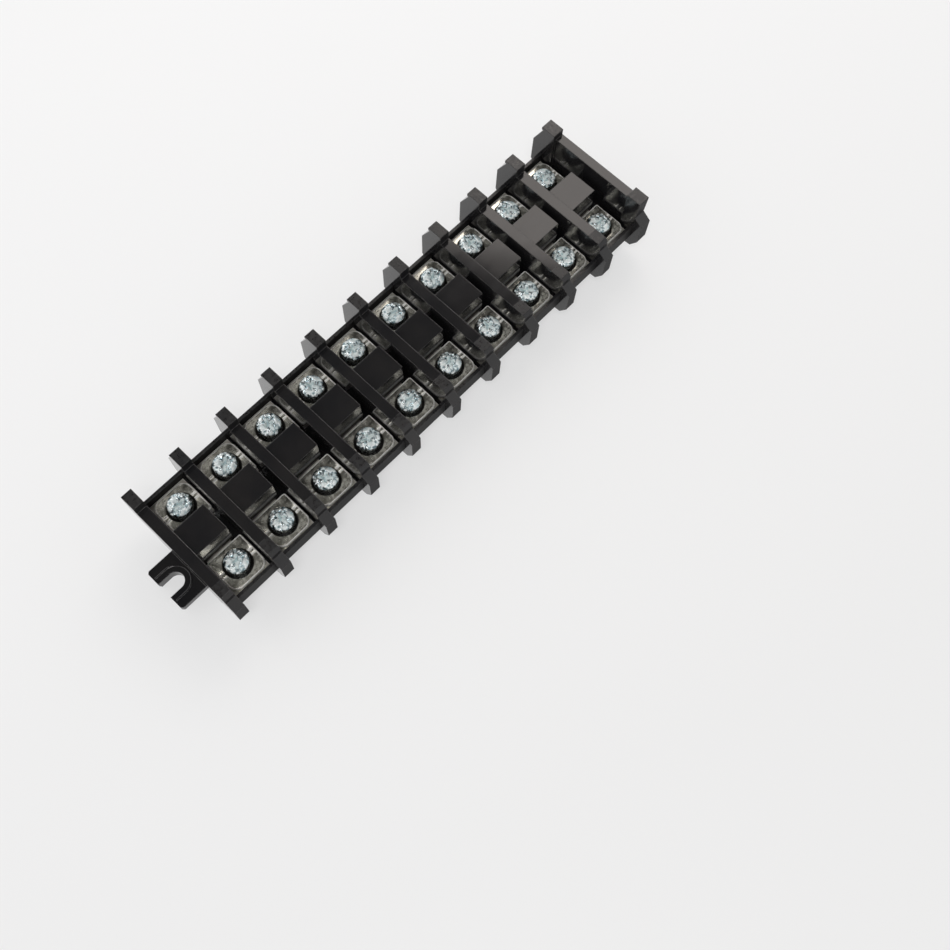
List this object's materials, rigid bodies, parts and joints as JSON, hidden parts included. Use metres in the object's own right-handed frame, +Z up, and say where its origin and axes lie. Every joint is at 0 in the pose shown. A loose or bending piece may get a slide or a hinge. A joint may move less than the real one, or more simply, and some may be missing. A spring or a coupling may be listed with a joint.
{
  "type": "din rail terminal block",
  "caption": "Straight stack of moulded barrier terminal modules with screw clamps in two rows and a slotted mounting foot at each end.",
  "frame": {"origin": "centre of the footprint, on the plane of the underside", "axes": "+X along the stack towards the end plate, +Y towards the row whose ears stand up, +Z up out of the screw heads"},
  "size_m": [0.181, 0.0434, 0.025],
  "materials": {
    "moulded_body": "gloss",
    "conductor": "nickel plated",
    "washer": "nickel plated",
    "screw": "bright zinc"
  },
  "bodies": {
    "base": {"housing_01": "moulded_body", "housing_02": "moulded_body", "housing_03": "moulded_body", "housing_04": "moulded_body", "housing_05": "moulded_body", "housing_06": "moulded_body", "housing_07": "moulded_body", "housing_08": "moulded_body", "housing_09": "moulded_body", "housing_10": "moulded_body", "end_plate": "moulded_body", "conductor_bars": "conductor"},
    "clamp_a_01": {"washer_a_01": "washer"},
    "driver_a_01": {"screw_a_01": "screw"},
    "clamp_b_01": {"washer_b_01": "washer"},
    "driver_b_01": {"screw_b_01": "screw"},
    "clamp_a_02": {"washer_a_02": "washer"},
    "driver_a_02": {"screw_a_02": "screw"},
    "clamp_b_02": {"washer_b_02": "washer"},
    "driver_b_02": {"screw_b_02": "screw"},
    "clamp_a_03": {"washer_a_03": "washer"},
    "driver_a_03": {"screw_a_03": "screw"},
    "clamp_b_03": {"washer_b_03": "washer"},
    "driver_b_03": {"screw_b_03": "screw"},
    "clamp_a_04": {"washer_a_04": "washer"},
    "driver_a_04": {"screw_a_04": "screw"},
    "clamp_b_04": {"washer_b_04": "washer"},
    "driver_b_04": {"screw_b_04": "screw"},
    "clamp_a_05": {"washer_a_05": "washer"},
    "driver_a_05": {"screw_a_05": "screw"},
    "clamp_b_05": {"washer_b_05": "washer"},
    "driver_b_05": {"screw_b_05": "screw"},
    "clamp_a_06": {"washer_a_06": "washer"},
    "driver_a_06": {"screw_a_06": "screw"},
    "clamp_b_06": {"washer_b_06": "washer"},
    "driver_b_06": {"screw_b_06": "screw"},
    "clamp_a_07": {"washer_a_07": "washer"},
    "driver_a_07": {"screw_a_07": "screw"},
    "clamp_b_07": {"washer_b_07": "washer"},
    "driver_b_07": {"screw_b_07": "screw"},
    "clamp_a_08": {"washer_a_08": "washer"},
    "driver_a_08": {"screw_a_08": "screw"},
    "clamp_b_08": {"washer_b_08": "washer"},
    "driver_b_08": {"screw_b_08": "screw"},
    "clamp_a_09": {"washer_a_09": "washer"},
    "driver_a_09": {"screw_a_09": "screw"},
    "clamp_b_09": {"washer_b_09": "washer"},
    "driver_b_09": {"screw_b_09": "screw"},
    "clamp_a_10": {"washer_a_10": "washer"},
    "driver_a_10": {"screw_a_10": "screw"},
    "clamp_b_10": {"washer_b_10": "washer"},
    "driver_b_10": {"screw_b_10": "screw"}
  },
  "joints": [
    {"name": "lift_a_01", "type": "slide", "parent": "base", "child": "clamp_a_01", "axis": [0, 0, 1], "range_m": [0, 0.0022]},
    {"name": "turn_a_01", "type": "hinge", "parent": "clamp_a_01", "child": "driver_a_01", "pos_m": [-0.0723, 0.0111, 0], "axis": [0, 0, 1], "range_deg": [0, 1132.4]},
    {"name": "lift_b_01", "type": "slide", "parent": "base", "child": "clamp_b_01", "axis": [0, 0, 1], "range_m": [0, 0.0022]},
    {"name": "turn_b_01", "type": "hinge", "parent": "clamp_b_01", "child": "driver_b_01", "pos_m": [-0.0723, -0.0111, 0], "axis": [0, 0, 1], "range_deg": [0, 1132.4]},
    {"name": "lift_a_02", "type": "slide", "parent": "base", "child": "clamp_a_02", "axis": [0, 0, 1], "range_m": [0, 0.0022]},
    {"name": "turn_a_02", "type": "hinge", "parent": "clamp_a_02", "child": "driver_a_02", "pos_m": [-0.0563, 0.0111, 0], "axis": [0, 0, 1], "range_deg": [0, 1132.4]},
    {"name": "lift_b_02", "type": "slide", "parent": "base", "child": "clamp_b_02", "axis": [0, 0, 1], "range_m": [0, 0.0022]},
    {"name": "turn_b_02", "type": "hinge", "parent": "clamp_b_02", "child": "driver_b_02", "pos_m": [-0.0563, -0.0111, 0], "axis": [0, 0, 1], "range_deg": [0, 1132.4]},
    {"name": "lift_a_03", "type": "slide", "parent": "base", "child": "clamp_a_03", "axis": [0, 0, 1], "range_m": [0, 0.0022]},
    {"name": "turn_a_03", "type": "hinge", "parent": "clamp_a_03", "child": "driver_a_03", "pos_m": [-0.0403, 0.0111, 0], "axis": [0, 0, 1], "range_deg": [0, 1132.4]},
    {"name": "lift_b_03", "type": "slide", "parent": "base", "child": "clamp_b_03", "axis": [0, 0, 1], "range_m": [0, 0.0022]},
    {"name": "turn_b_03", "type": "hinge", "parent": "clamp_b_03", "child": "driver_b_03", "pos_m": [-0.0403, -0.0111, 0], "axis": [0, 0, 1], "range_deg": [0, 1132.4]},
    {"name": "lift_a_04", "type": "slide", "parent": "base", "child": "clamp_a_04", "axis": [0, 0, 1], "range_m": [0, 0.0022]},
    {"name": "turn_a_04", "type": "hinge", "parent": "clamp_a_04", "child": "driver_a_04", "pos_m": [-0.0243, 0.0111, 0], "axis": [0, 0, 1], "range_deg": [0, 1132.4]},
    {"name": "lift_b_04", "type": "slide", "parent": "base", "child": "clamp_b_04", "axis": [0, 0, 1], "range_m": [0, 0.0022]},
    {"name": "turn_b_04", "type": "hinge", "parent": "clamp_b_04", "child": "driver_b_04", "pos_m": [-0.0243, -0.0111, 0], "axis": [0, 0, 1], "range_deg": [0, 1132.4]},
    {"name": "lift_a_05", "type": "slide", "parent": "base", "child": "clamp_a_05", "axis": [0, 0, 1], "range_m": [0, 0.0022]},
    {"name": "turn_a_05", "type": "hinge", "parent": "clamp_a_05", "child": "driver_a_05", "pos_m": [-0.0083, 0.0111, 0], "axis": [0, 0, 1], "range_deg": [0, 1132.4]},
    {"name": "lift_b_05", "type": "slide", "parent": "base", "child": "clamp_b_05", "axis": [0, 0, 1], "range_m": [0, 0.0022]},
    {"name": "turn_b_05", "type": "hinge", "parent": "clamp_b_05", "child": "driver_b_05", "pos_m": [-0.0083, -0.0111, 0], "axis": [0, 0, 1], "range_deg": [0, 1132.4]},
    {"name": "lift_a_06", "type": "slide", "parent": "base", "child": "clamp_a_06", "axis": [0, 0, 1], "range_m": [0, 0.0022]},
    {"name": "turn_a_06", "type": "hinge", "parent": "clamp_a_06", "child": "driver_a_06", "pos_m": [0.0077, 0.0111, 0], "axis": [0, 0, 1], "range_deg": [0, 1132.4]},
    {"name": "lift_b_06", "type": "slide", "parent": "base", "child": "clamp_b_06", "axis": [0, 0, 1], "range_m": [0, 0.0022]},
    {"name": "turn_b_06", "type": "hinge", "parent": "clamp_b_06", "child": "driver_b_06", "pos_m": [0.0077, -0.0111, 0], "axis": [0, 0, 1], "range_deg": [0, 1132.4]},
    {"name": "lift_a_07", "type": "slide", "parent": "base", "child": "clamp_a_07", "axis": [0, 0, 1], "range_m": [0, 0.0022]},
    {"name": "turn_a_07", "type": "hinge", "parent": "clamp_a_07", "child": "driver_a_07", "pos_m": [0.0237, 0.0111, 0], "axis": [0, 0, 1], "range_deg": [0, 1132.4]},
    {"name": "lift_b_07", "type": "slide", "parent": "base", "child": "clamp_b_07", "axis": [0, 0, 1], "range_m": [0, 0.0022]},
    {"name": "turn_b_07", "type": "hinge", "parent": "clamp_b_07", "child": "driver_b_07", "pos_m": [0.0237, -0.0111, 0], "axis": [0, 0, 1], "range_deg": [0, 1132.4]},
    {"name": "lift_a_08", "type": "slide", "parent": "base", "child": "clamp_a_08", "axis": [0, 0, 1], "range_m": [0, 0.0022]},
    {"name": "turn_a_08", "type": "hinge", "parent": "clamp_a_08", "child": "driver_a_08", "pos_m": [0.0397, 0.0111, 0], "axis": [0, 0, 1], "range_deg": [0, 1132.4]},
    {"name": "lift_b_08", "type": "slide", "parent": "base", "child": "clamp_b_08", "axis": [0, 0, 1], "range_m": [0, 0.0022]},
    {"name": "turn_b_08", "type": "hinge", "parent": "clamp_b_08", "child": "driver_b_08", "pos_m": [0.0397, -0.0111, 0], "axis": [0, 0, 1], "range_deg": [0, 1132.4]},
    {"name": "lift_a_09", "type": "slide", "parent": "base", "child": "clamp_a_09", "axis": [0, 0, 1], "range_m": [0, 0.0022]},
    {"name": "turn_a_09", "type": "hinge", "parent": "clamp_a_09", "child": "driver_a_09", "pos_m": [0.0557, 0.0111, 0], "axis": [0, 0, 1], "range_deg": [0, 1132.4]},
    {"name": "lift_b_09", "type": "slide", "parent": "base", "child": "clamp_b_09", "axis": [0, 0, 1], "range_m": [0, 0.0022]},
    {"name": "turn_b_09", "type": "hinge", "parent": "clamp_b_09", "child": "driver_b_09", "pos_m": [0.0557, -0.0111, 0], "axis": [0, 0, 1], "range_deg": [0, 1132.4]},
    {"name": "lift_a_10", "type": "slide", "parent": "base", "child": "clamp_a_10", "axis": [0, 0, 1], "range_m": [0, 0.0022]},
    {"name": "turn_a_10", "type": "hinge", "parent": "clamp_a_10", "child": "driver_a_10", "pos_m": [0.0717, 0.0111, 0], "axis": [0, 0, 1], "range_deg": [0, 1132.4]},
    {"name": "lift_b_10", "type": "slide", "parent": "base", "child": "clamp_b_10", "axis": [0, 0, 1], "range_m": [0, 0.0022]},
    {"name": "turn_b_10", "type": "hinge", "parent": "clamp_b_10", "child": "driver_b_10", "pos_m": [0.0717, -0.0111, 0], "axis": [0, 0, 1], "range_deg": [0, 1132.4]}
  ],
  "couplings": [
    {"joint": "turn_a_01", "follows": "lift_a_01", "rad_per_m": 8976},
    {"joint": "turn_b_01", "follows": "lift_b_01", "rad_per_m": 8976},
    {"joint": "turn_a_02", "follows": "lift_a_02", "rad_per_m": 8976},
    {"joint": "turn_b_02", "follows": "lift_b_02", "rad_per_m": 8976},
    {"joint": "turn_a_03", "follows": "lift_a_03", "rad_per_m": 8976},
    {"joint": "turn_b_03", "follows": "lift_b_03", "rad_per_m": 8976},
    {"joint": "turn_a_04", "follows": "lift_a_04", "rad_per_m": 8976},
    {"joint": "turn_b_04", "follows": "lift_b_04", "rad_per_m": 8976},
    {"joint": "turn_a_05", "follows": "lift_a_05", "rad_per_m": 8976},
    {"joint": "turn_b_05", "follows": "lift_b_05", "rad_per_m": 8976},
    {"joint": "turn_a_06", "follows": "lift_a_06", "rad_per_m": 8976},
    {"joint": "turn_b_06", "follows": "lift_b_06", "rad_per_m": 8976},
    {"joint": "turn_a_07", "follows": "lift_a_07", "rad_per_m": 8976},
    {"joint": "turn_b_07", "follows": "lift_b_07", "rad_per_m": 8976},
    {"joint": "turn_a_08", "follows": "lift_a_08", "rad_per_m": 8976},
    {"joint": "turn_b_08", "follows": "lift_b_08", "rad_per_m": 8976},
    {"joint": "turn_a_09", "follows": "lift_a_09", "rad_per_m": 8976},
    {"joint": "turn_b_09", "follows": "lift_b_09", "rad_per_m": 8976},
    {"joint": "turn_a_10", "follows": "lift_a_10", "rad_per_m": 8976},
    {"joint": "turn_b_10", "follows": "lift_b_10", "rad_per_m": 8976}
  ]
}
